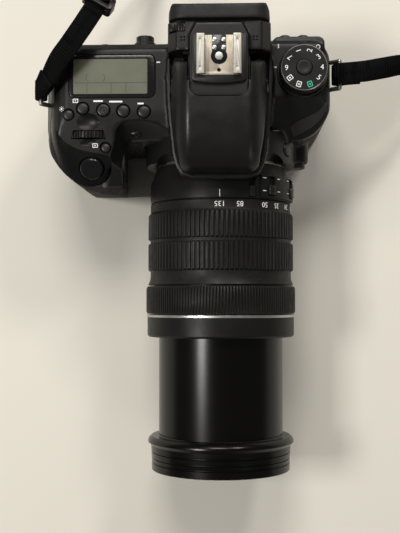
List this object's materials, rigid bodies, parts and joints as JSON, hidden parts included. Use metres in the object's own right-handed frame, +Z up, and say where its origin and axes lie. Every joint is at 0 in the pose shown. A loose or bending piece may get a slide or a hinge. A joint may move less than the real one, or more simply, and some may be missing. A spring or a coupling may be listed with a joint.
{
  "type": "dslr camera",
  "caption": "Single-lens reflex camera with a zoom lens drawn out, pop-up flash, folding rear screen, top dials and a webbing neck strap; stands on its base.",
  "frame": {"origin": "mouth of the tripod socket, on the base plane under the lens axis", "axes": "+Z up; the lens points to -Y; +X is the viewer's left, towards the mode dial"},
  "size_m": [0.2175, 0.349, 0.1029],
  "materials": {
    "shell": "fine grained black polycarbonate",
    "rubber": "moulded rubber with a leather grain",
    "control": "satin black plastic",
    "gloss": "polished black",
    "bright": "plain steel",
    "display": "grey-green liquid crystal window",
    "lens_black": "satin black",
    "glass": "coated glass",
    "mirror": "front silvered",
    "sensor": "glass covered chip",
    "webbing": "woven polyester"
  },
  "bodies": {
    "camera_body": {"front_cover": "shell", "top_cover": "shell", "rear_cover": "shell", "base_cover": "shell", "rubber_skins": "rubber", "hot_shoe": "bright", "shoe_contacts": "gloss", "status_display": "display", "body_mount_ring": "bright", "mirror_box": "lens_black", "eyecup": "rubber", "eyepiece_lens": "glass", "pentaprism": "glass", "image_sensor": "sensor", "shutter_unit": "lens_black", "battery": "lens_black", "strap_lugs": "bright", "cover_screws": "bright", "lens_mount": "bright", "lens_barrel": "lens_black", "rear_element": "glass", "strap_left": "webbing", "strap_right": "webbing", "strap_hank": "webbing", "strap_slider": "control"},
    "flash_head": {"flash_head": "shell"},
    "mode_dial": {"mode_dial": "control"},
    "mode_lock_button": {"mode_lock_button": "control"},
    "power_lever": {"power_lever": "control"},
    "main_dial": {"main_dial": "control"},
    "shutter_button": {"shutter_button": "gloss"},
    "af_area_button": {"af_area_button": "control"},
    "lamp_button": {"lamp_button": "control"},
    "metering_button": {"metering_button": "control"},
    "iso_button": {"iso_button": "control"},
    "drive_button": {"drive_button": "control"},
    "focus_mode_button": {"focus_mode_button": "control"},
    "flash_button": {"flash_button": "control"},
    "dioptre_knob": {"dioptre_knob": "control"},
    "lens_release_button": {"lens_release_button": "control"},
    "monitor": {"monitor": "gloss", "monitor_hinge": "control"},
    "rear_dial": {"rear_dial": "control"},
    "set_button": {"set_button": "control"},
    "menu_button": {"menu_button": "control"},
    "info_button": {"info_button": "control"},
    "live_view_button": {"live_view_button": "control"},
    "ae_lock_button": {"ae_lock_button": "control"},
    "playback_button": {"playback_button": "control"},
    "reflex_mirror": {"reflex_mirror": "mirror"},
    "battery_door": {"battery_door": "shell"},
    "card_door": {"card_door": "shell"},
    "terminal_cover": {"terminal_cover": "rubber"},
    "zoom_ring": {"zoom_ring": "lens_black"},
    "inner_barrel": {"inner_barrel": "lens_black", "front_element": "glass"},
    "focus_ring": {"focus_ring": "lens_black"},
    "af_switch": {"af_switch": "control"},
    "stabilizer_switch": {"stabilizer_switch": "control"},
    "zoom_lock": {"zoom_lock": "control"}
  },
  "joints": [
    {"name": "flash_lift", "type": "hinge", "parent": "camera_body", "child": "flash_head", "pos_m": [0, 0.005, 0.0885], "axis": [-1, 0, 0], "range_deg": [0, 60]},
    {"name": "mode_dial_turn", "type": "hinge", "parent": "camera_body", "child": "mode_dial", "pos_m": [0.0397, 0.0107, 0.08], "axis": [0, 0, 1], "continuous": true},
    {"name": "mode_lock_press", "type": "slide", "parent": "mode_dial", "child": "mode_lock_button", "axis": [0, 0, -1], "range_m": [0, 0.0008], "stiffness_N_per_m": 800},
    {"name": "power_switch", "type": "hinge", "parent": "camera_body", "child": "power_lever", "pos_m": [0.0397, 0.0107, 0.075], "axis": [0, 0, 1], "range_deg": [0, 35]},
    {"name": "main_dial_turn", "type": "hinge", "parent": "camera_body", "child": "main_dial", "pos_m": [-0.0632, -0.0185, 0.0647], "axis": [0, 1, 0], "continuous": true},
    {"name": "shutter_press", "type": "slide", "parent": "camera_body", "child": "shutter_button", "axis": [0, 0.519, -0.8548], "range_m": [0, 0.001], "stiffness_N_per_m": 800},
    {"name": "af_area_press", "type": "slide", "parent": "camera_body", "child": "af_area_button", "axis": [0, 0, -1], "range_m": [0, 0.001], "stiffness_N_per_m": 800},
    {"name": "lamp_press", "type": "slide", "parent": "camera_body", "child": "lamp_button", "axis": [0, 0, -1], "range_m": [0, 0.001], "stiffness_N_per_m": 800},
    {"name": "metering_press", "type": "slide", "parent": "camera_body", "child": "metering_button", "axis": [0, 0, -1], "range_m": [0, 0.001], "stiffness_N_per_m": 800},
    {"name": "iso_press", "type": "slide", "parent": "camera_body", "child": "iso_button", "axis": [0, 0, -1], "range_m": [0, 0.001], "stiffness_N_per_m": 800},
    {"name": "drive_press", "type": "slide", "parent": "camera_body", "child": "drive_button", "axis": [0, 0, -1], "range_m": [0, 0.001], "stiffness_N_per_m": 800},
    {"name": "focus_mode_press", "type": "slide", "parent": "camera_body", "child": "focus_mode_button", "axis": [0, 0, -1], "range_m": [0, 0.001], "stiffness_N_per_m": 800},
    {"name": "flash_press", "type": "slide", "parent": "camera_body", "child": "flash_button", "axis": [-0.866, 0, -0.5], "range_m": [0, 0.001], "stiffness_N_per_m": 800},
    {"name": "dioptre_turn", "type": "hinge", "parent": "camera_body", "child": "dioptre_knob", "pos_m": [-0.0185, 0.0276, 0.0916], "axis": [0, 1, 0], "range_deg": [-120, 120]},
    {"name": "lens_release_press", "type": "slide", "parent": "camera_body", "child": "lens_release_button", "axis": [0, 1, 0], "range_m": [0, 0.002], "stiffness_N_per_m": 800},
    {"name": "monitor_swing", "type": "hinge", "parent": "camera_body", "child": "monitor", "pos_m": [0.0499, 0.0245, 0.032], "axis": [0, 0, -1], "range_deg": [0, 170]},
    {"name": "rear_dial_turn", "type": "hinge", "parent": "camera_body", "child": "rear_dial", "pos_m": [-0.057, 0.0255, 0.027], "axis": [0, 1, 0], "continuous": true},
    {"name": "set_press", "type": "slide", "parent": "camera_body", "child": "set_button", "axis": [0, -1, 0], "range_m": [0, 0.001], "stiffness_N_per_m": 800},
    {"name": "menu_press", "type": "slide", "parent": "camera_body", "child": "menu_button", "axis": [0, -1, 0], "range_m": [0, 0.001], "stiffness_N_per_m": 800},
    {"name": "info_press", "type": "slide", "parent": "camera_body", "child": "info_button", "axis": [0, -1, 0], "range_m": [0, 0.001], "stiffness_N_per_m": 800},
    {"name": "live_view_press", "type": "slide", "parent": "camera_body", "child": "live_view_button", "axis": [0, -1, 0], "range_m": [0, 0.001], "stiffness_N_per_m": 800},
    {"name": "ae_lock_press", "type": "slide", "parent": "camera_body", "child": "ae_lock_button", "axis": [0, -1, 0], "range_m": [0, 0.001], "stiffness_N_per_m": 800},
    {"name": "playback_press", "type": "slide", "parent": "camera_body", "child": "playback_button", "axis": [0, -1, 0], "range_m": [0, 0.001], "stiffness_N_per_m": 800},
    {"name": "mirror_flip", "type": "hinge", "parent": "camera_body", "child": "reflex_mirror", "pos_m": [0, 0.0025, 0.055], "axis": [-1, 0, 0], "range_deg": [0, 45]},
    {"name": "battery_door_swing", "type": "hinge", "parent": "camera_body", "child": "battery_door", "pos_m": [-0.0565, -0.008, 0.0019], "axis": [0, -1, 0], "range_deg": [0, 90]},
    {"name": "card_door_swing", "type": "hinge", "parent": "camera_body", "child": "card_door", "pos_m": [-0.084, 0.0065, 0.033], "axis": [0, 0, -1], "range_deg": [0, 100]},
    {"name": "terminal_cover_swing", "type": "hinge", "parent": "camera_body", "child": "terminal_cover", "pos_m": [0.052, 0.01, 0.034], "axis": [0, 0, 1], "range_deg": [0, 100]},
    {"name": "zoom_turn", "type": "hinge", "parent": "camera_body", "child": "zoom_ring", "pos_m": [0, -0.07, 0.041], "axis": [0, -1, 0], "range_deg": [0, 82]},
    {"name": "barrel_extend", "type": "slide", "parent": "camera_body", "child": "inner_barrel", "axis": [0, 1, 0], "range_m": [0, 0.0495]},
    {"name": "focus_turn", "type": "hinge", "parent": "camera_body", "child": "focus_ring", "pos_m": [0, -0.098, 0.041], "axis": [0, -1, 0], "continuous": true},
    {"name": "af_switch_slide", "type": "slide", "parent": "camera_body", "child": "af_switch", "axis": [0, 1, 0], "range_m": [0, 0.0034]},
    {"name": "stabilizer_switch_slide", "type": "slide", "parent": "camera_body", "child": "stabilizer_switch", "axis": [0, 1, 0], "range_m": [0, 0.0034]},
    {"name": "zoom_lock_slide", "type": "slide", "parent": "camera_body", "child": "zoom_lock", "axis": [0, 1, 0], "range_m": [0, 0.0038]}
  ],
  "couplings": [
    {"joint": "barrel_extend", "follows": "zoom_turn", "m_per_rad": 0.03458}
  ]
}
